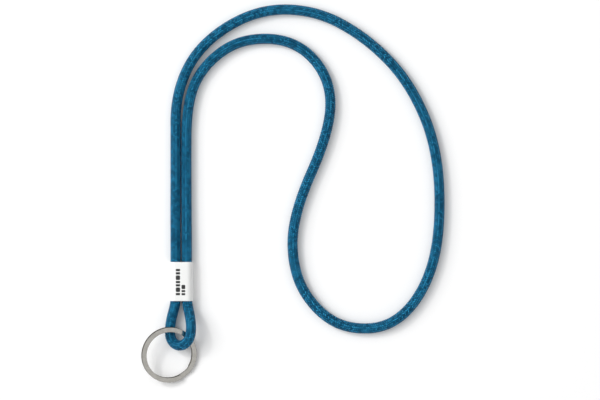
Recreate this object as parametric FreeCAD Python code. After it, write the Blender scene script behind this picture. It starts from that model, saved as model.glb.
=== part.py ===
"""Neck lanyard: a round braided cord joined in a flat sleeve, with a key loop below it and a split ring.

Millimetres. +Z is up and the lanyard lies on the plane Z = 0. The origin is the middle of the sleeve's
flat underside, +Y runs up the two cord legs towards the neck loop, and the key loop hangs towards -Y.
"""

import FreeCAD, Part
import math
import os

Vec = FreeCAD.Vector

# Cord
CORD_R = 3.0                # outside of the braided sheath
SHEATH_WALL = 0.75          # thickness of the braid
YARN_R = 0.71               # one core yarn
YARN_PITCH = 1.47           # from the middle yarn to each of the six round it
YARNS_ROUND = 6
ARC_SHARE = 0.45            # share of the shorter run that an arc's tangent takes up

# Sleeve: a flat oval tube round both legs of the cord
SLEEVE_LENGTH = 22.3
SLEEVE_WALL = 0.57
CORD_FIT = 0.08             # between cord and sleeve
LEG_X = 3.2                 # each leg's distance from the sleeve's middle
MOUTH_Y = SLEEVE_LENGTH / 2
SLEEVE_Z = CORD_R + CORD_FIT + SLEEVE_WALL      # height of the cord's middle inside the sleeve
SLEEVE_TOP = 2 * SLEEVE_Z

# Joined ends of the cord, in the right-hand side of the sleeve
SEAL_THICK = 0.4            # melted end of the cord
SEAL_R = 2.9
SEAL_GAP = 0.1              # between the two melted ends
TAIL_Y = SEAL_THICK + SEAL_GAP / 2
GLUE_LENGTH = 16.0
GLUE_HALF_WIDTH = 2.2
GLUE_FIT = 0.02

# Printed marks on the sleeve's upper face: plain bars in two columns
PRINT_THICK = 0.05
PRINT_FOOT_Y = -7.8         # both columns start here
PRINT_GAP = 0.55            # between bars
PRINT_COLUMNS = (           # column's middle in X, bar width in X, lengths of the bars in Y
    (-1.8, 2.4, (1.3, 2.6, 1.3, 1.3, 2.6, 1.3, 1.3)),
    (1.3, 2.1, (1.2, 1.2, 2.4)),
)

# Flex of the key loop where it leaves the sleeve
FLEX_Y = -15.0
FLEX_X = 3.9

# Split ring: two turns of flat wire, one above the other, joined by a short ramp
RING_R = 16.0               # outside radius
WIRE_WIDTH = 2.7
WIRE_THICK = 1.0
TURN_GAP = 0.03             # between the two turns
RAMP_ANGLE = 26.0           # degrees that the ramp takes
RAMP_SECTIONS = 9
END_GAP = 1.5               # degrees between a wire end and the ramp
RING_X = -6.9
RING_Y = -41.8
RING_TILT = 17.0            # degrees from flat
RING_LEAN = -34.0           # direction, from +X, of the ring's low side
RING_SPLIT = -46.0          # direction, from +X, of the ramp
RING_HALF_THICK = WIRE_THICK + TURN_GAP / 2

# Route of the cord from the sleeve's lower mouth, up the left leg, round the neck loop and down the
# right leg to the joint inside the sleeve
FLOOR_Z = CORD_R
NECK_ROUTE = [
    (-LEG_X, -MOUTH_Y, SLEEVE_Z),
    (-LEG_X, 15, SLEEVE_Z),
    (-3.3, 42, FLOOR_Z),
    (-3.2, 73, FLOOR_Z),
    (-3.3, 108, FLOOR_Z),
    (11, 136, FLOOR_Z),
    (43, 155.5, FLOOR_Z),
    (77, 155, FLOOR_Z),
    (106.6, 138.6, FLOOR_Z),
    (131, 113, FLOOR_Z),
    (146.8, 75, FLOOR_Z),
    (148, 25, FLOOR_Z),
    (138.4, -6.6, FLOOR_Z),
    (120, -26, FLOOR_Z),
    (95, -27.5, FLOOR_Z),
    (76.7, -16.5, FLOOR_Z),
    (63.9, 5, FLOOR_Z),
    (63.2, 37, FLOOR_Z),
    (85.3, 87, FLOOR_Z),
    (85, 116.5, FLOOR_Z),
    (65.3, 138, FLOOR_Z),
    (33.7, 139, FLOOR_Z),
    (11.8, 122.7, FLOOR_Z),
    (3, 101, FLOOR_Z),
    (2.9, 62, FLOOR_Z),
    (3.1, 34, FLOOR_Z),
    (LEG_X, 14, SLEEVE_Z),
    (LEG_X, TAIL_Y, SLEEVE_Z),
]

# Route of the key loop, from the flex on the left, under the ring's near side, round the bottom and up
# over the ring to the flex on the right
LOOP_ROUTE = [
    (-FLEX_X, FLEX_Y, SLEEVE_Z),
    (-5.4, -20.5, 3.3),
    (-6.5, -26.5, 3.0),
    (-6.3, -33.0, 3.2),
    (-3.0, -37.2, 5.0),
    (1.5, -37.2, 7.7),
    (4.8, -33.0, 9.4),
    (5.5, -26.5, 9.3),
    (5.0, -20.5, 6.8),
    (FLEX_X, FLEX_Y, SLEEVE_Z),
]


def turn_between(before, corner, after):
    """Angle in radians by which a route turns at a corner."""
    return (corner - before).getAngle(after - corner)


def route_segments(route):
    """Straight runs and the tangent arcs that join them, in order along a route of corner points.

    A run is ("line", start, end). An arc is ("arc", centre, axis, angle, start, end, radius).
    """
    points = [Vec(*p) for p in route]
    segments = []
    start = points[0]
    for before, corner, after in zip(points, points[1:], points[2:]):
        turn = turn_between(before, corner, after)
        inward = (before - corner).normalize()
        outward = (after - corner).normalize()
        tangent = ARC_SHARE * min((corner - before).Length, (after - corner).Length)
        radius = tangent / math.tan(turn / 2)
        arc_start = corner + inward * tangent
        arc_end = corner + outward * tangent
        to_centre = (inward + outward).normalize()
        centre = corner + to_centre * math.hypot(radius, tangent)
        axis = (inward * -1).cross(outward).normalize()
        segments.append(("line", start, arc_start))
        segments.append(("arc", centre, axis, math.degrees(turn), arc_start, arc_end, radius))
        start = arc_end
    segments.append(("line", start, points[-1]))
    return segments


def segments_length(segments):
    """Length of a route's centre line."""
    total = 0.0
    for segment in segments:
        if segment[0] == "line":
            total += (segment[2] - segment[1]).Length
        else:
            total += math.radians(segment[3]) * segment[6]
    return total


def side_faces(shape):
    """Faces of one swept stretch, without its two flat ends."""
    return [face for face in shape.Faces if not isinstance(face.Surface, Part.Plane)]


def sweep(section, segments):
    """Carries a flat section along the segments without twisting it, as one closed solid."""
    faces = [section]
    moving = section.copy()
    for segment in segments:
        if segment[0] == "line":
            step = segment[2] - segment[1]
            faces += side_faces(moving.extrude(step))
            moving = moving.translated(step)
        else:
            centre, axis, angle = segment[1:4]
            faces += side_faces(moving.revolve(centre, axis, angle))
            moving = moving.rotated(centre, axis, angle)
    faces.append(moving)
    shell = Part.makeShell(faces)
    shell.sewShape()
    solid = Part.makeSolid(shell)
    if solid.Volume < 0:
        solid.reverse()
    return solid


def disc(centre, normal, radius):
    """Round flat face."""
    return Part.Face(Part.Wire(Part.Circle(centre, normal, radius).toShape()))


def route_start(segments):
    """Start point and direction of the first run."""
    start, end = segments[0][1:3]
    return start, (end - start).normalize()


def sheath(segments):
    """Braided tube along a route."""
    start, along = route_start(segments)
    hole = disc(start, along, CORD_R - SHEATH_WALL)
    section = disc(start, along, CORD_R).cut(hole).Faces[0]
    return sweep(section, segments)


def core_yarns(segments):
    """Seven parallel yarns inside the braid: one in the middle and six round it."""
    start, along = route_start(segments)
    side = along.cross(Vec(0, 0, 1)).normalize()
    up = side.cross(along)
    centres = [start]
    for number in range(YARNS_ROUND):
        angle = 2 * math.pi * number / YARNS_ROUND
        offset = side * (YARN_PITCH * math.cos(angle)) + up * (YARN_PITCH * math.sin(angle))
        centres.append(start + offset)
    return Part.makeCompound([sweep(disc(centre, along, YARN_R), segments) for centre in centres])


def round_cap(centre, direction):
    """Half ball that closes a cord's end, bulging along direction."""
    ball = Part.makeSphere(CORD_R, Vec(0, 0, 0), Vec(0, 0, 1), 0, 90, 360)
    ball.Placement = FreeCAD.Placement(centre, FreeCAD.Rotation(Vec(0, 0, 1), direction))
    return ball


def loop_sheath(segments):
    """Key loop's braided tube, with a ball-shaped end at each side of the flex."""
    start, along = route_start(segments)
    last_start, last_end = segments[-1][1:3]
    first_cap = round_cap(start, along * -1)
    last_cap = round_cap(last_end, (last_end - last_start).normalize())
    return sheath(segments).fuse([first_cap, last_cap]).removeSplitter().Solids[0]


def oval_face(half_height, y):
    """Flat oval across the sleeve, with round ends centred on the two legs of the cord."""
    low = SLEEVE_Z - half_height
    high = SLEEVE_Z + half_height
    right_arc = Part.Arc(Vec(LEG_X, y, low), Vec(LEG_X + half_height, y, SLEEVE_Z), Vec(LEG_X, y, high))
    left_arc = Part.Arc(Vec(-LEG_X, y, high), Vec(-LEG_X - half_height, y, SLEEVE_Z), Vec(-LEG_X, y, low))
    bottom = Part.LineSegment(Vec(-LEG_X, y, low), Vec(LEG_X, y, low))
    top = Part.LineSegment(Vec(LEG_X, y, high), Vec(-LEG_X, y, high))
    return Part.Face(Part.Wire([edge.toShape() for edge in (bottom, right_arc, top, left_arc)]))


def oval_block(half_height, length):
    """Solid oval bar along Y, centred on the sleeve."""
    return oval_face(half_height, -length / 2).extrude(Vec(0, length, 0))


def sleeve():
    """Flat oval tube that holds both legs and hides the joined ends."""
    outside = oval_block(SLEEVE_Z, SLEEVE_LENGTH)
    bore = oval_block(CORD_R + CORD_FIT, SLEEVE_LENGTH)
    return outside.cut(bore)


def glue_fill():
    """Set glue between the two legs, inside the sleeve."""
    fill = oval_block(CORD_R + CORD_FIT - GLUE_FIT, GLUE_LENGTH)
    middle = Part.makeBox(
        2 * GLUE_HALF_WIDTH, GLUE_LENGTH, SLEEVE_TOP, Vec(-GLUE_HALF_WIDTH, -GLUE_LENGTH / 2, 0)
    )
    fill = fill.common(middle)
    for x in (-LEG_X, LEG_X):
        leg = Part.makeCylinder(CORD_R + GLUE_FIT, GLUE_LENGTH, Vec(x, -GLUE_LENGTH / 2, SLEEVE_Z), Vec(0, 1, 0))
        fill = fill.cut(leg)
    return fill.Solids[0]


def sealed_ends():
    """Two melted cord ends that face each other in the middle of the sleeve."""
    discs = []
    for y in (SEAL_GAP / 2, -TAIL_Y):
        discs.append(Part.makeCylinder(SEAL_R, SEAL_THICK, Vec(LEG_X, y, SLEEVE_Z), Vec(0, 1, 0)))
    return Part.makeCompound(discs)


def printed_bar(x, y, width, length):
    """One bar of print, with round corners."""
    bar = Part.makeBox(width, length, PRINT_THICK, Vec(x - width / 2, y, SLEEVE_TOP))
    uprights = [edge for edge in bar.Edges if abs(edge.Vertexes[0].Z - edge.Vertexes[1].Z) > PRINT_THICK / 2]
    return bar.makeFillet(min(width, length) / 4, uprights)


def sleeve_print():
    """Two columns of plain bars on the sleeve's upper face."""
    bars = []
    for x, width, lengths in PRINT_COLUMNS:
        y = PRINT_FOOT_Y
        for length in lengths:
            bars.append(printed_bar(x, y, width, length))
            y += length + PRINT_GAP
    return Part.makeCompound(bars)


def wire_section(angle, height):
    """Outline of the ring's flat wire at an angle round the ring, with its underside at a height."""
    inner = RING_R - WIRE_WIDTH
    across = Vec(math.cos(math.radians(angle)), math.sin(math.radians(angle)), 0)
    corners = [(inner, 0), (RING_R, 0), (RING_R, WIRE_THICK), (inner, WIRE_THICK)]
    points = [across * r + Vec(0, 0, height + z) for r, z in corners]
    return Part.makePolygon(points + points[:1])


def flat_turn(first, last, height):
    """Level stretch of the ring's wire between two angles."""
    face = Part.Face(wire_section(first, height))
    return face.revolve(Vec(0, 0, 0), Vec(0, 0, 1), last - first)


def ramp(low, high):
    """Stretch of wire that climbs from the lower turn to the upper one, centred on angle 0."""
    sections = []
    for number in range(RAMP_SECTIONS):
        share = number / (RAMP_SECTIONS - 1)
        ease = share * share * (3 - 2 * share)
        sections.append(wire_section(RAMP_ANGLE * (share - 0.5), low + (high - low) * ease))
    return Part.makeLoft(sections, True, False)


def ring_placement():
    """Where the ring lies: tilted, with its low side on the floor."""
    tilt = math.radians(RING_TILT)
    lean = math.radians(RING_LEAN)
    normal = Vec(math.sin(tilt) * math.cos(lean), math.sin(tilt) * math.sin(lean), math.cos(tilt))
    height = RING_R * math.sin(tilt) + RING_HALF_THICK * math.cos(tilt)
    turn = FreeCAD.Rotation(Vec(0, 0, 1), RING_SPLIT)
    centre = Vec(RING_X, RING_Y, height)
    print("ring centre", centre, "axis", normal)
    return FreeCAD.Placement(centre, FreeCAD.Rotation(Vec(0, 0, 1), normal).multiply(turn))


def split_ring():
    """Two-turn split ring: lower turn, ramp and upper turn in one length of flat wire."""
    low = -RING_HALF_THICK
    high = TURN_GAP / 2
    ramp_end = RAMP_ANGLE / 2
    wire_end = ramp_end + END_GAP
    lower = flat_turn(wire_end, 360 - ramp_end, low)
    upper = flat_turn(ramp_end, 360 - wire_end, high)
    ring = lower.fuse([ramp(low, high), upper]).removeSplitter().Solids[0]
    ring.Placement = ring_placement()
    return ring


def tail_segments():
    """Cord's second end: straight down inside the sleeve from the joint to the lower mouth."""
    return [("line", Vec(LEG_X, -TAIL_Y, SLEEVE_Z), Vec(LEG_X, -MOUTH_Y, SLEEVE_Z))]


def report_route(name, segments):
    """Prints a route's length and the radius of each of its arcs."""
    radii = [round(segment[6], 1) for segment in segments if segment[0] == "arc"]
    print(name, "length", round(segments_length(segments), 1), "arc radii", radii)


def save(name, shape):
    """Writes one node, and prints what it is."""
    shape.exportStep("parts/" + name + ".step")
    print(name, "solids", len(shape.Solids), "volume", round(shape.Volume, 2), "valid", shape.isValid())


def main():
    os.makedirs("parts", exist_ok=True)
    neck = route_segments(NECK_ROUTE)
    loop = route_segments(LOOP_ROUTE)
    tail = tail_segments()
    report_route("neck cord", neck)
    report_route("key loop", loop)
    save("neck_cord_sheath", sheath(neck))
    save("neck_cord_core", core_yarns(neck))
    save("cord_tail_sheath", sheath(tail))
    save("cord_tail_core", core_yarns(tail))
    save("key_loop_sheath", loop_sheath(loop))
    save("key_loop_core", core_yarns(loop))
    save("sealed_ends", sealed_ends())
    save("glue_fill", glue_fill())
    save("sleeve", sleeve())
    save("sleeve_print", sleeve_print())
    save("split_ring", split_ring())
    section = math.pi * (CORD_R ** 2 - (CORD_R - SHEATH_WALL) ** 2)
    print("neck sheath should be", round(section * segments_length(neck), 2))


main()
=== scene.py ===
"""Neck lanyard: braided cord, flat sleeve with plain print, key loop and split ring, on a white table.

Everything is in metres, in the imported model's frame: the sleeve's flat underside is at the origin, +Y runs up
the cord's two legs and +Z is up from the table.
"""

import logging
import math
from dataclasses import dataclass, field
from enum import Enum
from typing import ClassVar, Mapping, Optional, Sequence, Union

import bpy
import numpy as np
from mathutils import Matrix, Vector


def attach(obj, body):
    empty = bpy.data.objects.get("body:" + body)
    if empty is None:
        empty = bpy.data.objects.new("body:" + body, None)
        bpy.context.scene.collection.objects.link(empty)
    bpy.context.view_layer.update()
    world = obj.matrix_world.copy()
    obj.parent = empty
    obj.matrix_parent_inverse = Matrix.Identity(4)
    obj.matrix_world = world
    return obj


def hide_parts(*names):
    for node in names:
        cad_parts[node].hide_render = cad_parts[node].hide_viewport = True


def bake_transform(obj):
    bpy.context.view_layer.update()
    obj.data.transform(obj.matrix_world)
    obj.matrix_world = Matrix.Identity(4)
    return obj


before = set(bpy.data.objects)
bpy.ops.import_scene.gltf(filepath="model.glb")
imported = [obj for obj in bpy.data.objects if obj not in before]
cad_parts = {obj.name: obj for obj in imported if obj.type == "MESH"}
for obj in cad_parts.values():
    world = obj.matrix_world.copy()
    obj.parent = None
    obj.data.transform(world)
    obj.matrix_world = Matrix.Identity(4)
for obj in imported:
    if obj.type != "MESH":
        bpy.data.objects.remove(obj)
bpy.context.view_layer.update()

MM = 0.001
PAINTED_LIGHT = "painted_light"
TONE_AND_SHEEN = "tone_and_sheen"
log = logging.getLogger("lanyard")

Colour = tuple[float, float, float]
Point = tuple[float, float, float]
Setting = Union[str, bool, int, float]


def mm(*numbers: float) -> Point:
    """Turns millimetres into metres."""
    return tuple(number * MM for number in numbers)


def row_count(length: float, spacing: float) -> int:
    """How many evenly spaced rows a length needs, its two ends included."""
    return max(3, int(round(length / spacing)) + 1)


def stacked(shape: tuple[int, ...], *axes: Union[np.ndarray, float]) -> np.ndarray:
    """Spreads an array or number for each axis over a shape, and stacks them as the last axis."""
    return np.stack([np.broadcast_to(axis, shape) for axis in axes], -1)


class Hand(Enum):
    """Which way a yarn winds round the cord."""

    RIGHT = 1
    LEFT = -1


class Grain(Enum):
    """Where a finish reads its place on a piece."""

    SOLID = "Object"
    THREAD = "thread"


# ------------------------------------------------------------------------------ shader maths


@dataclass(frozen=True)
class Value:
    """One output socket of a shader, whose arithmetic adds Math nodes."""

    shader: "Shader"
    socket: bpy.types.NodeSocket

    def _math(self, operation: str, *terms: "Term") -> "Value":
        """Adds one Math node."""
        return self.shader.node("ShaderNodeMath", {"operation": operation}, dict(enumerate(terms)))

    def __add__(self, other: "Term") -> "Value":
        """self + other."""
        return self._math("ADD", self, other)

    def __radd__(self, other: "Term") -> "Value":
        """other + self."""
        return self._math("ADD", other, self)

    def __sub__(self, other: "Term") -> "Value":
        """self - other."""
        return self._math("SUBTRACT", self, other)

    def __rsub__(self, other: "Term") -> "Value":
        """other - self."""
        return self._math("SUBTRACT", other, self)

    def __mul__(self, other: "Term") -> "Value":
        """self * other."""
        return self._math("MULTIPLY", self, other)

    def __rmul__(self, other: "Term") -> "Value":
        """other * self."""
        return self._math("MULTIPLY", other, self)

    def between(self, low: float, high: float) -> "Value":
        """Holds the value between two limits."""
        raised = self._math("MAXIMUM", self, low)
        return raised._math("MINIMUM", raised, high)


Term = Union[Value, float, Colour, tuple[float, float, float, float]]


class Shader:
    """A material's node tree, with one Principled shader at its end."""

    def __init__(self, name: str) -> None:
        """Makes an empty material of that name."""
        self.material = bpy.data.materials.new(name)
        self.material.use_nodes = True
        self.tree = self.material.node_tree
        self.tree.nodes.clear()
        self.surface = self.tree.nodes.new("ShaderNodeBsdfPrincipled")
        end = self.tree.nodes.new("ShaderNodeOutputMaterial")
        self.tree.links.new(self.surface.outputs["BSDF"], end.inputs["Surface"])

    def node(
        self,
        kind: str,
        settings: Mapping[str, Setting],
        inputs: Mapping[Union[str, int], Term],
        output: Union[str, int] = 0,
    ) -> Value:
        """Adds one node.

        Args:
            kind: the node's type.
            settings: its own settings, set before anything else.
            inputs: a value or a link for each input socket, by name or number.
            output: the output socket that is wanted.

        Returns:
            That output socket.
        """
        made = self.tree.nodes.new(kind)
        for name, setting in settings.items():
            setattr(made, name, setting)
        for name, term in inputs.items():
            self._put(made.inputs[name], term)
        return Value(self, made.outputs[output])

    def _put(self, socket: bpy.types.NodeSocket, term: Term) -> None:
        """Links or sets one input socket."""
        if isinstance(term, Value):
            self.tree.links.new(term.socket, socket)
        elif isinstance(term, tuple) and len(term) == 3 and socket.type == "RGBA":
            socket.default_value = (*term, 1.0)
        else:
            socket.default_value = term

    def put(self, **terms: Term) -> None:
        """Sets the Principled shader's sockets, with _ for a space in a name."""
        for name, term in terms.items():
            self._put(self.surface.inputs[name.replace("_", " ")], term)

    def value_of(self, attribute: str) -> Value:
        """A number that the mesh holds at each point."""
        return self.node("ShaderNodeAttribute", {"attribute_name": attribute}, {}, "Fac")

    def place(self, grain: Grain, stretch: Point = (1.0, 1.0, 1.0)) -> Value:
        """A piece's own coordinates, stretched.

        Args:
            grain: solid coordinates in metres, or the thread's own.
            stretch: the factor for each axis.

        Returns:
            The stretched coordinates, as a vector.
        """
        if grain is Grain.SOLID:
            start = self.node("ShaderNodeTexCoord", {}, {}, "Object")
        else:
            start = self.node("ShaderNodeAttribute", {"attribute_name": grain.value}, {}, "Vector")
        return self.node("ShaderNodeVectorMath", {"operation": "MULTIPLY"}, {0: start, 1: stretch})

    def noise(self, where: Value, scale: float, detail: float = 3.0, roughness: float = 0.5) -> Value:
        """Cloudy noise, about 0.5 on average.

        Args:
            where: coordinates.
            scale: how many clouds to a unit.
            detail: octaves.
            roughness: how strong the small octaves are.

        Returns:
            The noise as one value.
        """
        inputs = {"Vector": where, "Scale": scale, "Detail": detail, "Roughness": roughness}
        return self.node("ShaderNodeTexNoise", {}, inputs, "Fac")

    def spread(self, value: Value, low: float, high: float) -> Value:
        """Stretches low to high over 0 to 1, smoothly, and clips the rest."""
        inputs = {"Value": value, "From Min": low, "From Max": high}
        return self.node("ShaderNodeMapRange", {"interpolation_type": "SMOOTHSTEP"}, inputs)

    def mix(self, share: Term, first: Term, second: Term) -> Value:
        """Goes from the first colour to the second as share goes from 0 to 1."""
        return self.node("ShaderNodeMix", {"data_type": "RGBA"}, {0: share, 6: first, 7: second}, 2)

    def bump(self, height: Value, depth: float, strength: float) -> Value:
        """Turns a height into a normal.

        Args:
            height: from 0 to 1.
            depth: what 1 stands for, in metres.
            strength: from 0 to 1.

        Returns:
            The normal.
        """
        return self.node("ShaderNodeBump", {}, {"Height": height, "Distance": depth, "Strength": strength})


# ---------------------------------------------------------------------------------- finishes


@dataclass(frozen=True)
class YarnFinish:
    """Dyed, shiny filament yarn, with painted shade on the yarn edges and under crossings and painted sheen on
    one hand of yarns. It reads the thread coordinates: along, across in mm, yarn number.
    """

    name: str
    painted_shade: Colour
    mid: Colour
    bright: Colour
    roughness: float
    sheen_tint: Colour
    filament_stretch: Point = (0.45, 5.5, 3.7)
    filament_depth: float = 0.04 * MM
    filament_relief: float = 0.55
    filament_tone: float = 0.7
    filament_gloss: float = 0.24
    dye_stretch: Point = (0.02, 0.0, 7.3)
    dye_tone: float = 0.4
    painted_light_range: tuple[float, float] = (0.25, 0.95)

    def made(self) -> bpy.types.Material:
        """Builds the material."""
        shader = Shader(self.name)
        filaments = shader.noise(shader.place(Grain.THREAD, self.filament_stretch), 1.0, 3.0, 0.6)
        dye = shader.noise(shader.place(Grain.THREAD, self.dye_stretch), 1.0, 2.0)
        # Painted shade: where the painted light value is low, at the yarn edges and under crossings, the colour
        # goes to the dark painted shade colour.
        lit = shader.spread(shader.value_of(PAINTED_LIGHT), *self.painted_light_range)
        tone_and_sheen = shader.value_of(TONE_AND_SHEEN) + (filaments - 0.5) * self.filament_tone + (dye - 0.5) * self.dye_tone
        yarn = shader.mix(tone_and_sheen.between(0.0, 1.0), self.mid, self.bright)
        shader.put(
            Base_Color=shader.mix(lit, self.painted_shade, yarn),
            Roughness=(self.roughness + (filaments - 0.5) * self.filament_gloss).between(0.2, 0.9),
            Normal=shader.bump(filaments, self.filament_depth, self.filament_relief),
            Specular_IOR_Level=0.5,
            Specular_Tint=self.sheen_tint,
        )
        return shader.material


@dataclass(frozen=True)
class FibreFinish:
    """Undyed fibre, or fibre coloured dark with painted shade, that lies inside, with fine grain along it."""

    name: str
    dark: Colour
    light: Colour
    roughness: float
    grain_stretch: Point = (0.5, 4.0, 1.9)
    grain_gloss: float = 0.2

    def made(self) -> bpy.types.Material:
        """Builds the material."""
        shader = Shader(self.name)
        grain = shader.noise(shader.place(Grain.THREAD, self.grain_stretch), 1.0, 2.0)
        shader.put(
            Base_Color=shader.mix(grain, self.dark, self.light),
            Roughness=(self.roughness + (grain - 0.5) * self.grain_gloss).between(0.1, 1.0),
        )
        return shader.material


@dataclass(frozen=True)
class PlasticFinish:
    """Moulded plastic, ink or resin: a slightly uneven colour, a fine skin and small scuffs."""

    name: str
    low: Colour
    high: Colour
    roughness: float
    scuff: float
    skin: float
    coat: float = 0.0
    cloud_scale: float = 140.0
    cloud_gloss: float = 0.12
    skin_scale: float = 2600.0
    skin_relief: float = 0.35
    rub_stretch: Point = (900.0, 160.0, 900.0)
    rub_range: tuple[float, float] = (0.56, 0.74)

    def made(self) -> bpy.types.Material:
        """Builds the material."""
        shader = Shader(self.name)
        clouds = shader.noise(shader.place(Grain.SOLID), self.cloud_scale, 3.0)
        skin = shader.noise(shader.place(Grain.SOLID), self.skin_scale, 2.0)
        rubs = shader.noise(shader.place(Grain.SOLID, self.rub_stretch), 1.0, 4.0, 0.65)
        scuffed = shader.spread(rubs, *self.rub_range)
        roughness = self.roughness + (clouds - 0.5) * self.cloud_gloss + scuffed * self.scuff
        shader.put(
            Base_Color=shader.mix(clouds, self.low, self.high),
            Roughness=roughness.between(0.05, 0.95),
            Normal=shader.bump(skin, self.skin, self.skin_relief),
            Coat_Weight=self.coat,
            Coat_Roughness=0.2,
        )
        return shader.material


@dataclass(frozen=True)
class SteelFinish:
    """Plated spring wire, polished along its length, with a painted dark reflection on its walls. Reads the
    thread coordinates in mm.
    """

    name: str
    dull: Colour
    clean: Colour
    # painted dark reflection on the wire's walls
    edge: Colour
    roughness: float
    edge_tint: Colour
    face: float = 1.25
    rolled: float = 0.07
    line_stretch: Point = (0.12, 14.0, 9.0)
    line_share: float = 0.8
    line_depth: float = 0.01 * MM
    line_relief: float = 0.2
    mark_scale: float = 420.0
    mark_range: tuple[float, float] = (0.35, 0.65)
    nick_stretch: Point = (1.6, 3.0, 2.0)
    nick_share: float = 0.2
    nick_range: tuple[float, float] = (0.6, 0.72)
    line_gloss: float = 0.1
    worn_gloss: float = 0.08
    wall_gloss: float = 0.12
    worn_bright: float = 0.3

    def made(self) -> bpy.types.Material:
        """Builds the material."""
        shader = Shader(self.name)
        lines = shader.noise(shader.place(Grain.THREAD, self.line_stretch), 1.0, 3.0, 0.6)
        marks = shader.noise(shader.place(Grain.SOLID), self.mark_scale, 4.0, 0.6)
        nicks = shader.noise(shader.place(Grain.THREAD, self.nick_stretch), 1.0, 5.0, 0.75)
        worn = shader.spread(nicks, *self.nick_range)
        # Painted reflection: beyond the flat face, the wire's walls take the dark edge colour instead of
        # reflecting their surroundings.
        across = shader.node("ShaderNodeSeparateXYZ", {}, {0: shader.place(Grain.THREAD)}, 1)
        wall = shader.spread(across * across, self.face**2, (self.face + self.rolled) ** 2)
        face = shader.mix(shader.spread(marks, *self.mark_range), self.dull, self.clean)
        polish = self.roughness + (lines - 0.5) * self.line_gloss + worn * self.worn_gloss
        roughness = polish + wall * self.wall_gloss
        relief = lines * self.line_share + nicks * self.nick_share
        shader.put(
            Base_Color=shader.mix(wall * (1.0 - worn * self.worn_bright), face, self.edge),
            Metallic=1.0,
            Roughness=roughness.between(0.06, 0.6),
            Normal=shader.bump(relief, self.line_depth, self.line_relief),
            Specular_Tint=self.edge_tint,
        )
        return shader.material


@dataclass(frozen=True)
class TableFinish:
    """Plain white table."""

    name: str
    colour: Colour

    def made(self) -> bpy.types.Material:
        """Builds the material."""
        shader = Shader(self.name)
        shader.put(Base_Color=self.colour, Roughness=1.0, Specular_IOR_Level=0.0)
        return shader.material


BRAID_YARN = YarnFinish(
    name="braid_yarn",
    # painted shade for the gaps and for the yarns under crossings
    painted_shade=(0.001, 0.006, 0.014),
    mid=(0.001, 0.072, 0.178),
    bright=(0.03, 0.308, 0.59),
    roughness=0.4,
    sheen_tint=(0.12, 0.7, 1.0),
)
# The inner side of the braid, coloured dark with painted shade.
BRAID_INSIDE_SHADE = FibreFinish(
    name="braid_inside_shade",
    dark=(0.004, 0.03, 0.05),
    light=(0.01, 0.06, 0.1),
    roughness=0.8,
)
CORE_FIBRE = FibreFinish(
    name="core_fibre",
    dark=(0.62, 0.62, 0.58),
    light=(0.82, 0.82, 0.78),
    roughness=0.7,
)
MELTED_CORD = PlasticFinish(
    name="melted_cord",
    low=(0.004, 0.025, 0.04),
    high=(0.01, 0.06, 0.09),
    roughness=0.25,
    scuff=0.1,
    skin=0.06 * MM,
)
SET_GLUE = PlasticFinish(
    name="set_glue",
    low=(0.62, 0.56, 0.42),
    high=(0.74, 0.69, 0.56),
    roughness=0.3,
    scuff=0.1,
    skin=0.03 * MM,
)
SLEEVE_PLASTIC = PlasticFinish(
    name="sleeve_plastic",
    low=(0.79, 0.8, 0.79),
    high=(0.84, 0.845, 0.835),
    roughness=0.34,
    scuff=0.22,
    skin=0.01 * MM,
    coat=0.15,
)
PRINT_INK = PlasticFinish(
    name="print_ink",
    low=(0.012, 0.012, 0.013),
    high=(0.03, 0.03, 0.032),
    roughness=0.45,
    scuff=0.25,
    skin=0.01 * MM,
)
RING_STEEL = SteelFinish(
    name="ring_steel",
    dull=(0.5, 0.485, 0.45),
    clean=(0.56, 0.545, 0.51),
    # painted dark reflection on the walls
    edge=(0.09, 0.084, 0.076),
    roughness=0.16,
    edge_tint=(0.4, 0.39, 0.37),
)
TABLE_WHITE = TableFinish(name="table_white", colour=(0.93, 0.93, 0.93))


# ------------------------------------------------------------------------------- mesh making


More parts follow.
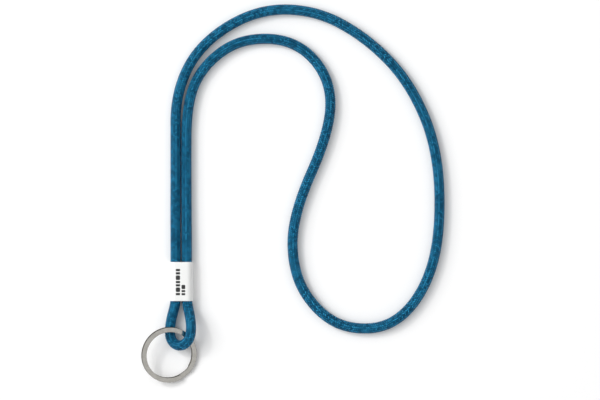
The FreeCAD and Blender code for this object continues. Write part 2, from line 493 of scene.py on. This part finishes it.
@dataclass
class MeshParts:
    """Vertices, faces and per-vertex values of one mesh, gathered a patch at a time."""

    places: list[np.ndarray] = field(default_factory=list)
    threads: list[np.ndarray] = field(default_factory=list)
    painted_lights: list[np.ndarray] = field(default_factory=list)
    tones_and_sheen: list[np.ndarray] = field(default_factory=list)
    faces: list[np.ndarray] = field(default_factory=list)
    slots: list[np.ndarray] = field(default_factory=list)
    count: int = 0

    def add_tube(
        self,
        rings: np.ndarray,
        threads: np.ndarray,
        painted_lights: Union[np.ndarray, float] = 1.0,
        tones_and_sheen: Union[np.ndarray, float] = 0.5,
        slot: int = 0,
        closed: bool = False,
    ) -> None:
        """Adds a tube through a row of rings, with flat ends unless it closes on itself.

        Args:
            rings: rows x sides x 3 places, in metres.
            threads: rows x sides x 3 thread coordinates.
            painted_lights: painted light at each point, 0 to 1, from how far it stands out of the surface; low
                values give painted shade.
            tones_and_sheen: how light each point is dyed, with painted sheen added, 0 to 1.
            slot: material slot.
            closed: True if the last ring joins the first.
        """
        rows, sides = rings.shape[:2]
        row = np.arange(rows if closed else rows - 1)[:, None]
        side = np.arange(sides)[None]
        here = row * sides
        there = (row + 1) % rows * sides
        beside = (side + 1) % sides
        quads = np.stack([here + side, there + side, there + beside, here + beside], 2).reshape(-1, 4)
        self.faces.append(quads + self.count)
        self.slots.append(np.full(len(quads), slot))
        if not closed:
            around = np.arange(sides)
            ends = np.stack([around, (rows - 1) * sides + around[::-1]])
            self.faces.append(ends + self.count)
            self.slots.append(np.full(2, slot))
        self.places.append(rings.reshape(-1, 3))
        self.threads.append(np.broadcast_to(threads, rings.shape).reshape(-1, 3))
        self.painted_lights.append(np.broadcast_to(painted_lights, rings.shape[:2]).reshape(-1))
        self.tones_and_sheen.append(np.broadcast_to(tones_and_sheen, rings.shape[:2]).reshape(-1))
        self.count += rows * sides

    def piece(self, name: str, materials: Sequence[bpy.types.Material]) -> bpy.types.Object:
        """Makes the object.

        Args:
            name: the piece's name.
            materials: one for each material slot.

        Returns:
            The object, in the scene and with no parent.
        """
        mesh = bpy.data.meshes.new(name)
        places = np.concatenate(self.places).astype(np.float32)
        corners = np.concatenate([patch.ravel() for patch in self.faces]).astype(np.int32)
        sizes = np.concatenate([np.full(len(patch), patch.shape[1]) for patch in self.faces])
        mesh.vertices.add(len(places))
        mesh.vertices.foreach_set("co", places.ravel())
        mesh.loops.add(len(corners))
        mesh.loops.foreach_set("vertex_index", corners)
        mesh.polygons.add(len(sizes))
        mesh.polygons.foreach_set("loop_start", (np.cumsum(sizes) - sizes).astype(np.int32))
        mesh.polygons.foreach_set("material_index", np.concatenate(self.slots).astype(np.int32))
        mesh.update(calc_edges=True)
        mesh.validate()
        mesh.shade_smooth()
        thread = mesh.attributes.new(Grain.THREAD.value, "FLOAT_VECTOR", "POINT")
        thread.data.foreach_set("vector", np.concatenate(self.threads).astype(np.float32).ravel())
        for label, values in ((PAINTED_LIGHT, self.painted_lights), (TONE_AND_SHEEN, self.tones_and_sheen)):
            layer = mesh.attributes.new(label, "FLOAT", "POINT")
            layer.data.foreach_set("value", np.concatenate(values).astype(np.float32))
        for material in materials:
            mesh.materials.append(material)
        made = bpy.data.objects.new(name, mesh)
        bpy.context.scene.collection.objects.link(made)
        return made


def soften(piece: bpy.types.Object, sharp_angle: float) -> None:
    """Marks edges sharper than an angle in degrees, so that smooth shading stops there."""
    piece.data.set_sharp_from_angle(angle=math.radians(sharp_angle))


@dataclass(frozen=True)
class Line:
    """A cord's middle line, evenly sampled, with two directions across it that don't twist."""

    points: np.ndarray
    sides: np.ndarray
    ups: np.ndarray
    distance: np.ndarray

    SMOOTHNESS: ClassVar[int] = 256

    @classmethod
    def through(cls, name: str, route: Sequence[Point], spacing: float) -> "Line":
        """Samples the smooth spline whose control points are a route.

        Args:
            name: a name for the spline while it is read.
            route: control points, in metres.
            spacing: distance between samples, in metres.

        Returns:
            The sampled line.
        """
        dense = cls._spline_points(name, route)
        steps = np.linalg.norm(np.diff(dense, axis=0), axis=1)
        along = np.concatenate([[0.0], np.cumsum(steps)])
        distance = np.linspace(0.0, along[-1], row_count(along[-1], spacing))
        points = np.stack([np.interp(distance, along, dense[:, axis]) for axis in range(3)], 1)
        tangents = np.gradient(points, distance, axis=0)
        tangents /= np.linalg.norm(tangents, axis=1)[:, None]
        sides = np.empty_like(points)
        side = np.cross(tangents[0], (0.0, 0.0, 1.0))
        for number, tangent in enumerate(tangents):
            side = side - tangent * np.dot(side, tangent)
            side = side / np.linalg.norm(side)
            sides[number] = side
        return cls(points, sides, np.cross(sides, tangents), distance)

    @staticmethod
    def _spline_points(name: str, route: Sequence[Point]) -> np.ndarray:
        """Reads the points of a NURBS spline through Blender's own curve."""
        curve = bpy.data.curves.new(name, "CURVE")
        curve.dimensions = "3D"
        curve.resolution_u = Line.SMOOTHNESS
        spline = curve.splines.new("NURBS")
        spline.points.add(len(route) - 1)
        for point, place in zip(spline.points, route):
            point.co = (*place, 1.0)
        spline.order_u = 3
        spline.use_endpoint_u = True
        holder = bpy.data.objects.new(name, curve)
        mesh = bpy.data.meshes.new_from_object(holder)
        places = np.empty(len(mesh.vertices) * 3)
        mesh.vertices.foreach_get("co", places)
        bpy.data.objects.remove(holder)
        bpy.data.curves.remove(curve)
        bpy.data.meshes.remove(mesh)
        return places.reshape(-1, 3)

    @property
    def length(self) -> float:
        """Length of the line, in metres."""
        return float(self.distance[-1])

    def around(self, along: np.ndarray, angle: np.ndarray, radius: np.ndarray) -> np.ndarray:
        """Places round the line.

        Args:
            along: distance along the line.
            angle: angle round it, in radians.
            radius: distance from it.

        Returns:
            Places in metres, with 3 as the last axis.
        """
        along = np.clip(along, 0.0, self.length)

        def read(rows: np.ndarray) -> np.ndarray:
            """Reads one of the line's rows of vectors at each distance."""
            return np.stack([np.interp(along, self.distance, rows[:, axis]) for axis in range(3)], -1)

        out = read(self.sides) * np.cos(angle)[..., None] + read(self.ups) * np.sin(angle)[..., None]
        return read(self.points) + out * radius[..., None]


# -------------------------------------------------------------------------------------- cord


@dataclass(frozen=True)
class Braid:
    """Tubular braid of filament yarns, each passing over two and under two, on an inner lining that stands for
    the yarns' inner side and is coloured with painted shade.
    """

    radius: float = 3.0 * MM
    yarns_per_hand: int = 14
    pick_spacing: float = 1.16 * MM
    under_middle: float = 2.6 * MM
    swing: float = 0.19 * MM
    float_sharpness: float = 1.6
    lining: float = 2.36 * MM
    rows_per_float: int = 6
    lift: float = 0.02 * MM
    lift_range: tuple[float, float] = (-1.5, 1.0)
    roll: float = 0.08
    roll_range: tuple[float, float] = (-2.0, 2.0)
    # random tone per float, partly real yarn tone and partly painted glints
    uneven: float = 0.36
    # painted sheen: one hand of yarns is coloured lighter than the other, as light falls on them
    painted_sheen_lean: float = 0.15
    # painted light: how much of each yarn keeps its dyed colour instead of painted shade, from its height
    # across the yarn
    painted_light_base: float = 0.35
    painted_light_rise: float = 3.2
    painted_light_least: float = 0.1
    lining_sides: int = 16
    lining_spacing: float = 1.0 * MM
    first_seed: int = 100
    hand_step: float = 40.0
    section: tuple[tuple[float, float], ...] = (
        (-0.42, -0.08),
        (-0.26, 0.12),
        (0.0, 0.21),
        (0.26, 0.12),
        (0.42, -0.08),
        (0.0, -0.15),
    )

    @property
    def lead(self) -> float:
        """Length of cord in which a yarn winds round once."""
        return self.pick_spacing * self.yarns_per_hand

    @property
    def slope(self) -> float:
        """Angle between a yarn and the cord, in radians."""
        return math.atan2(2 * math.pi * self.radius, self.lead)

    @property
    def row_spacing(self) -> float:
        """Distance between the rings of points along a yarn."""
        return 2 * self.pick_spacing / self.rows_per_float

    def woven(self, line: Line) -> MeshParts:
        """Winds all the yarns round a line.

        Args:
            line: the cord's middle line.

        Returns:
            Yarns in slot 0 and the lining in slot 1.
        """
        parts = MeshParts()
        for hand in Hand:
            for number in range(self.yarns_per_hand):
                self._wind(parts, line, hand, number)
        self._line_inside(parts, line)
        return parts

    def _wind(self, parts: MeshParts, line: Line, hand: Hand, number: int) -> None:
        """Adds one yarn.

        Args:
            parts: where it goes.
            line: the cord's middle line.
            hand: which way it winds.
            number: its number among the yarns of that hand.
        """
        along = np.linspace(0.0, line.length, row_count(line.length, self.row_spacing))
        turn = hand.value * 2 * math.pi * along / self.lead
        crossing = number + hand.value * 2 * self.yarns_per_hand * along / self.lead
        wave = np.cos(2 * math.pi * (number + crossing - 0.5) / 4)
        over = hand.value * np.tanh(self.float_sharpness * wave) / math.tanh(self.float_sharpness)
        dice = np.random.default_rng(self.first_seed + number * 2 + (hand is Hand.LEFT))
        middle_of_float = 0.5 if hand is Hand.RIGHT else 2.5
        pick = np.round((number + crossing - middle_of_float) / 4).astype(int)
        pick -= pick.min()
        lift, roll, tone_and_sheen = dice.normal(size=(3, pick.max() + 1))[:, pick]
        middle = self.under_middle + self.swing * over + self.lift * np.clip(lift, *self.lift_range)
        start = 2 * math.pi * number / self.yarns_per_hand
        section = np.array(self.section)
        across, height = section[:, 0], section[:, 1]
        places = line.around(
            along[:, None] - hand.value * across * MM * math.sin(self.slope),
            start + turn[:, None] + across * MM * math.cos(self.slope) / self.under_middle,
            middle[:, None] + (height + across * self.roll * np.clip(roll, *self.roll_range)[:, None]) * MM,
        )
        own_number = number + hand.value * self.hand_step
        thread = stacked(places.shape[:2], along[:, None] / MM / math.cos(self.slope), across, own_number)
        # Painted light: the middle of each float and the yarn on top of a crossing keep their colour; the yarn
        # edges and the yarn underneath get painted shade.
        rounded = np.clip(self.painted_light_base + self.painted_light_rise * height, self.painted_light_least, 1.0)
        painted_light = (0.5 + 0.5 * hand.value * wave)[:, None] * rounded
        # The tone is partly real random yarn tone and partly painted light: one hand is painted lighter as
        # sheen, and the random tone per float also stands for glints.
        dyed = 0.5 - self.painted_sheen_lean * hand.value + self.uneven * tone_and_sheen
        parts.add_tube(places, thread, painted_light, np.clip(dyed, 0, 1)[:, None])

    def _line_inside(self, parts: MeshParts, line: Line) -> None:
        """Adds the braid's inner side as one tube, coloured with painted shade."""
        shape = (row_count(line.length, self.lining_spacing), self.lining_sides)
        along = np.linspace(0.0, line.length, shape[0])[:, None]
        angle = np.arange(self.lining_sides)[None] * 2 * math.pi / self.lining_sides
        grid = stacked(shape, along, angle, self.lining)
        places = line.around(grid[..., 0], grid[..., 1], grid[..., 2])
        parts.add_tube(places, stacked(shape, along / MM, angle, 0.0), slot=1)


@dataclass(frozen=True)
class CoreYarns:
    """Seven parallel yarns inside the braid, one in the middle."""

    radius: float = 0.69 * MM
    pitch: float = 1.45 * MM
    outer: int = 6
    sides: int = 8
    row_spacing: float = 1.2 * MM

    def laid(self, line: Line) -> MeshParts:
        """Lays the yarns along a line.

        Args:
            line: the cord's middle line.

        Returns:
            The yarns' mesh parts.
        """
        parts = MeshParts()
        shape = (row_count(line.length, self.row_spacing), self.sides)
        along = np.linspace(0.0, line.length, shape[0])[:, None]
        around = np.arange(self.sides)[None] * 2 * math.pi / self.sides
        for number in range(self.outer + 1):
            pitch = self.pitch if number else 0.0
            lean = 2 * math.pi * number / self.outer
            across = pitch * math.cos(lean) + self.radius * np.cos(around)
            upward = pitch * math.sin(lean) + self.radius * np.sin(around)
            grid = stacked(shape, along, np.arctan2(upward, across), np.hypot(upward, across))
            places = line.around(grid[..., 0], grid[..., 1], grid[..., 2])
            parts.add_tube(places, stacked(shape, along / MM, around, float(number)))
        return parts


@dataclass(frozen=True)
class CordMaterials:
    """Materials that every stretch of the cord shares."""

    yarn: bpy.types.Material
    # inside: painted shade for the braid's inner side
    inside: bpy.types.Material
    core: bpy.types.Material


@dataclass(frozen=True)
class Cord:
    """One stretch of the cord: braid, lining and core yarns along a route."""

    name: str
    route: tuple[Point, ...]
    materials: CordMaterials
    stands_for: tuple[str, ...]
    core_stands_for: tuple[str, ...]
    bends_between: Optional[tuple[Point, Point]] = None
    line_spacing: float = 0.4 * MM
    braid: Braid = Braid()
    core: CoreYarns = CoreYarns()

    def build(self) -> bpy.types.Object:
        """Returns:
            The braided piece.
        """
        line = Line.through(self.name, self.route, self.line_spacing)
        sheath = self.braid.woven(line).piece(self.name, [self.materials.yarn, self.materials.inside])
        core = self.core.laid(line).piece(f"{self.name}_yarns", [self.materials.core])
        for piece, nodes, slot in (
            (sheath, self.stands_for, "cord_braid"),
            (core, self.core_stands_for, "core_yarn"),
        ):
            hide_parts(*nodes)
            self._attach(piece)
        log.info("%s: %.1f mm long, %d faces", self.name, line.length / MM, len(sheath.data.polygons))
        return sheath

    def _attach(self, piece: bpy.types.Object) -> None:
        """Makes a piece ride on the sleeve's body, or, for a stretch given bends_between, bakes its placement
        into its mesh and leaves it with no parent.
        """
        if self.bends_between is None:
            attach(piece, "root")
        else:
            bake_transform(piece)


NECK_ROUTE = tuple(
    mm(*place)
    for place in (
        (-3.2, -7.5, 3.65),
        (-3.2, 15, 3.65),
        (-3.3, 42, 3),
        (-3.2, 73, 3),
        (-3.3, 108, 3),
        (11, 136, 3),
        (43, 155.5, 3),
        (77, 155, 3),
        (106.6, 138.6, 3),
        (131, 113, 3),
        (146.8, 75, 3),
        (148, 25, 3),
        (138.4, -6.6, 3),
        (120, -26, 3),
        (95, -27.5, 3),
        (76.7, -16.5, 3),
        (63.9, 5, 3),
        (63.2, 37, 3),
        (85.3, 87, 3),
        (85, 116.5, 3),
        (65.3, 138, 3),
        (33.7, 139, 3),
        (11.8, 122.7, 3),
        (3, 101, 3),
        (2.9, 62, 3),
        (3.1, 34, 3),
        (3.2, 14, 3.65),
        (3.2, 0.45, 3.65),
    )
)

LOOP_ROUTE = tuple(
    mm(*place)
    for place in (
        (-3.2, -7.6, 3.65),
        (-3.2, -11, 3.65),
        (-3.9, -15, 3.65),
        (-5.4, -20.5, 3.3),
        (-6.5, -26.5, 3.0),
        (-6.3, -32.6, 3.2),
        (-3.0, -36.5, 5.0),
        (1.6, -36.4, 7.7),
        (5.1, -32.4, 9.4),
        (5.9, -26.5, 9.3),
        (5.2, -20.5, 6.8),
        (3.9, -15, 3.65),
        (3.2, -11, 3.65),
        (3.2, -0.45, 3.65),
    )
)


# ------------------------------------------------------------------------------------ sleeve


@dataclass(frozen=True)
class Sleeve:
    """Flat oval tube round both legs of the cord, with rounded lips."""

    length: float = 22.3 * MM
    leg: float = 3.2 * MM
    outside: float = 3.65 * MM
    inside: float = 3.08 * MM
    lip: float = 0.2 * MM
    lip_points: int = 6
    arc_points: int = 20
    flat_points: int = 10
    length_steps: int = 24

    def build(self) -> bpy.types.Object:
        """Builds, dresses and attaches the sleeve.

        Returns:
            The sleeve.
        """
        parts = MeshParts()
        rings = np.array([self._oval(half, y) for y, half in self._wall()])
        parts.add_tube(rings, rings / MM, closed=True)
        sleeve = parts.piece("sleeve_tube", [SLEEVE_PLASTIC.made()])
        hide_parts("sleeve")
        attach(sleeve, "root")
        log.info("%s: %d faces", sleeve.name, len(sleeve.data.polygons))
        return sleeve

    def _wall(self) -> list[tuple[float, float]]:
        """Section through the wall, as (Y, half height of the oval), once round it."""
        reach = self.length / 2
        corner = [(math.cos(turn), math.sin(turn)) for turn in np.linspace(0, math.pi / 2, self.lip_points)]
        upper = [
            (reach - self.lip + self.lip * across, self.outside - self.lip + self.lip * rise)
            for across, rise in reversed(corner)
        ]
        lower = [
            (reach - self.lip + self.lip * across, self.inside + self.lip - self.lip * rise)
            for across, rise in corner
        ]
        top = upper + lower
        run = np.linspace(-1, 1, self.length_steps)[1:-1] * (reach - self.lip)
        back = [(-y, half) for y, half in reversed(top)]
        inner_run = [(y, self.inside) for y in run[::-1]]
        outer_run = [(y, self.outside) for y in run]
        return top + inner_run + back + outer_run

    def _oval(self, half: float, y: float) -> list[Point]:
        """Flat oval of a half height across the sleeve at Y."""
        right = np.linspace(-math.pi / 2, math.pi / 2, self.arc_points)
        points = [(self.leg + half * math.cos(turn), half * math.sin(turn)) for turn in right]
        flat = np.linspace(1, -1, self.flat_points)[1:-1] * self.leg
        points += [(x, half) for x in flat]
        points += [(-x, -z) for x, z in points]
        return [(x, y, self.outside + z) for x, z in points]


# -------------------------------------------------------------------------------------- ring


@dataclass(frozen=True)
class SplitRing:
    """Two turns of flat spring wire joined by a short ramp, with the wire's edges rolled over."""

    radius: float = 16.0 * MM
    width: float = 2.7 * MM
    thick: float = 1.0 * MM
    gap: float = 0.03 * MM
    edge: float = 0.1 * MM
    ramp: float = 26.0
    end_gap: float = 1.5
    end_round: float = 0.25 * MM
    end_shrink: float = 0.22
    end_steps: tuple[float, ...] = (0.0, 0.15, 0.35, 0.6, 0.9)
    step: float = 1.5
    edge_points: int = 6
    sharp_angle: float = 50.0
    centre: Point = mm(-6.9, -41.8, 5.6486)
    tilt: float = 17.0
    lean: float = -34.0
    split: float = -46.0

    def build(self) -> bpy.types.Object:
        """Builds, dresses and attaches the ring.

        Returns:
            The ring.
        """
        first = self.ramp / 2 + self.end_gap
        last = 720 - first
        turns = self._angles(first, last)
        low = -(self.thick + self.gap / 2)
        rise = self.thick + self.gap
        share = np.clip((turns - (360 - self.ramp / 2)) / self.ramp, 0, 1)
        heights = low + rise * share * share * (3 - 2 * share)
        section = self._section()
        away = np.minimum(turns - first, last - turns) * math.radians(1) * self.radius
        shrink = 1 - self.end_shrink * np.clip(1 - away / self.end_round, 0, 1) ** 2
        middle = self.radius - self.width / 2
        radial = middle + section[None, :, 0] * shrink[:, None]
        level = heights[:, None] + self.thick / 2 + section[None, :, 1] * shrink[:, None]
        spin = np.radians(turns)[:, None]
        rings = np.stack([radial * np.cos(spin), radial * np.sin(spin), level], 2)
        across, up = section[None, :, 0] / MM, section[None, :, 1] / MM
        parts = MeshParts()
        parts.add_tube(self._placed(rings), stacked(radial.shape, spin * self.radius / MM, across, up))
        ring = parts.piece("key_ring", [RING_STEEL.made()])
        soften(ring, self.sharp_angle)
        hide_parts("split_ring")
        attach(ring, "ring")
        log.info("%s: %d faces", ring.name, len(ring.data.polygons))
        return ring

    def _angles(self, first: float, last: float) -> np.ndarray:
        """Angles of the wire's sections in degrees, closer together at its two ends."""
        near = np.array(self.end_steps)
        middle = np.arange(first + self.step, last - self.step, self.step)
        return np.concatenate([first + near, middle, (last - near)[::-1]])

    def _section(self) -> np.ndarray:
        """Outline of the wire with rolled edges, as (across, up) from its middle."""
        points = []
        for across, up, start in ((1, 1, 0), (-1, 1, 90), (-1, -1, 180), (1, -1, 270)):
            for turn in np.radians(np.linspace(start, start + 90, self.edge_points)):
                x = across * (self.width / 2 - self.edge) + self.edge * math.cos(turn)
                z = up * (self.thick / 2 - self.edge) + self.edge * math.sin(turn)
                points.append((x, z))
        return np.array(points)

    def _placed(self, places: np.ndarray) -> np.ndarray:
        """Turns and tilts the ring, and moves it to where it lies."""
        tilt, lean, split = (math.radians(angle) for angle in (self.tilt, self.lean, self.split))
        normal = Vector((math.sin(tilt) * math.cos(lean), math.sin(tilt) * math.sin(lean), math.cos(tilt)))
        spun = np.array(
            [
                [math.cos(split), -math.sin(split), 0],
                [math.sin(split), math.cos(split), 0],
                [0, 0, 1],
            ]
        )
        tipped = np.array(Vector((0, 0, 1)).rotation_difference(normal).to_matrix())
        return places @ (tipped @ spun).T + np.array(self.centre)


# ----------------------------------------------------------------- kept nodes and the studio


@dataclass(frozen=True)
class KeptNodes:
    """Nodes that keep their own shape and get a finish."""

    finishes: tuple[tuple[str, PlasticFinish], ...] = (
        ("sleeve_print", PRINT_INK),
        ("sealed_ends", MELTED_CORD),
        ("glue_fill", SET_GLUE),
    )

    def dress(self) -> None:
        """Puts each node's finish in its material slots."""
        for name, finish in self.finishes:
            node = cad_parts[name]
            material = finish.made()
            for slot in node.material_slots:
                slot.material = material
            log.info("%s: %s", name, finish.name)


@dataclass(frozen=True)
class Lamp:
    """One square soft light."""

    name: str
    place: Point
    aim: Point
    side: float
    power: float


@dataclass(frozen=True)
class Studio:
    """White table, soft lights and a camera that looks straight down."""

    middle: Point = (0.0678, 0.0465, 0.0)
    view_width: float = 0.3429
    distance: float = 3.2
    sensor: float = 36.0
    far_clip: float = 20.0
    table_half: float = 3.0
    table_drop: float = 0.03 * MM
    zenith: float = 0.76
    horizon: float = 0.2
    zenith_height: float = 0.75
    lamps: tuple[Lamp, ...] = (
        Lamp("key_light", (-2.3, 0.8, 2.3), (0.05, 0.04, 0.0), 2.6, 75.0),
        Lamp("spark_light", (-1.4, 1.0, 1.6), (0.05, 0.04, 0.0), 0.2, 8.0),
    )

    def build(self) -> None:
        """Makes the camera, the table and the lights."""
        self._camera()
        self._table()
        self._world()
        for lamp in self.lamps:
            self._light(lamp)

    def _camera(self) -> None:
        """Makes the camera above the middle of the object."""
        data = bpy.data.cameras.new("camera")
        data.sensor_width = self.sensor
        data.lens = self.sensor * self.distance / self.view_width
        data.clip_end = self.far_clip
        camera = bpy.data.objects.new("camera", data)
        camera.location = (self.middle[0], self.middle[1], self.distance)
        bpy.context.scene.collection.objects.link(camera)
        bpy.context.scene.camera = camera

    def _table(self) -> None:
        """Makes the table top just under the object."""
        mesh = bpy.data.meshes.new("table")
        half = self.table_half
        corners = [(-half, -half), (half, -half), (half, half), (-half, half)]
        mesh.from_pydata([(x, y, -self.table_drop) for x, y in corners], [], [(0, 1, 2, 3)])
        mesh.materials.append(TABLE_WHITE.made())
        table = bpy.data.objects.new("table", mesh)
        bpy.context.scene.collection.objects.link(table)

    def _world(self) -> None:
        """Makes a soft sky, bright overhead and darker towards the horizon."""
        world = bpy.data.worlds.new("sky")
        world.use_nodes = True
        tree = world.node_tree
        place = tree.nodes.new("ShaderNodeTexCoord")
        height = tree.nodes.new("ShaderNodeSeparateXYZ")
        level = tree.nodes.new("ShaderNodeMapRange")
        level.inputs["From Max"].default_value = self.zenith_height
        level.inputs["To Min"].default_value = self.horizon
        level.inputs["To Max"].default_value = self.zenith
        tree.links.new(place.outputs["Generated"], height.inputs["Vector"])
        tree.links.new(height.outputs["Z"], level.inputs["Value"])
        tree.links.new(level.outputs["Result"], tree.nodes["Background"].inputs["Strength"])
        tree.nodes["Background"].inputs["Color"].default_value = (1.0, 1.0, 1.0, 1.0)
        bpy.context.scene.world = world

    def _light(self, lamp: Lamp) -> None:
        """Makes one square area light."""
        data = bpy.data.lights.new(lamp.name, "AREA")
        data.shape = "SQUARE"
        data.size = lamp.side
        data.energy = lamp.power
        made = bpy.data.objects.new(lamp.name, data)
        made.location = lamp.place
        aim = Vector(lamp.aim) - Vector(lamp.place)
        made.rotation_euler = aim.to_track_quat("-Z", "Y").to_euler()
        bpy.context.scene.collection.objects.link(made)


def main() -> None:
    """Builds the studio and then each piece, in order."""
    logging.basicConfig(level=logging.INFO, format="%(name)s %(message)s")
    bpy.context.scene.view_settings.view_transform = "Standard"
    Studio().build()
    materials = CordMaterials(BRAID_YARN.made(), BRAID_INSIDE_SHADE.made(), CORE_FIBRE.made())
    Cord("neck_cord", NECK_ROUTE, materials, ("neck_cord_sheath",), ("neck_cord_core",)).build()
    Cord(
        "key_loop",
        LOOP_ROUTE,
        materials,
        ("key_loop_sheath", "cord_tail_sheath"),
        ("key_loop_core", "cord_tail_core"),
        bends_between=(mm(0, -11.2, 3.65), mm(0, -19, 3.65)),
    ).build()
    Sleeve().build()
    SplitRing().build()
    KeptNodes().dress()


if __name__ == "__main__":
    main()
